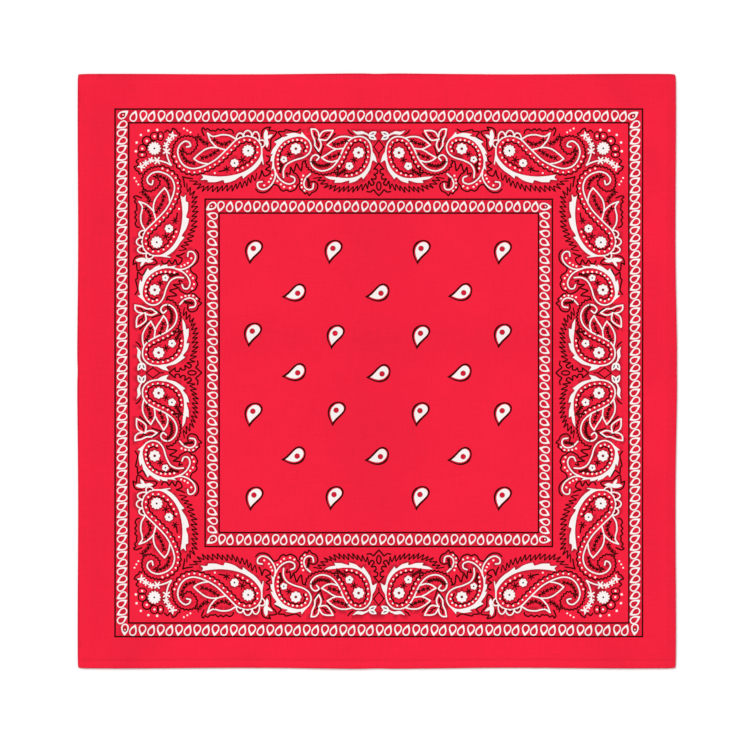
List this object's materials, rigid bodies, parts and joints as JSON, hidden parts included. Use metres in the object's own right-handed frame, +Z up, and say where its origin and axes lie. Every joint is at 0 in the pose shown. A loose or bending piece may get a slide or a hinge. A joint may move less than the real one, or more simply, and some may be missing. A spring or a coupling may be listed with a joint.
{
  "type": "bandana",
  "caption": "Square printed cotton bandana laid out flat, face up, with turned-under hems and soft folds across its middle.",
  "frame": {"origin": "under the middle of the cloth, on the surface that it lies on", "axes": "+X to the right side of the printed face, +Y to its top side, +Z up out of the printed face"},
  "size_m": [0.5616, 0.5576, 0.0029],
  "materials": {
    "printed_cotton": "dull dyed plain-weave cotton with a white and black print",
    "hem_cotton": "dull dyed plain-weave cotton, turned under and stitched in red thread"
  },
  "bodies": {
    "root": {"panel": "printed_cotton", "hem_left": "hem_cotton", "hem_right": "hem_cotton", "hem_bottom": "hem_cotton", "hem_top": "hem_cotton"}
  },
  "joints": []
}
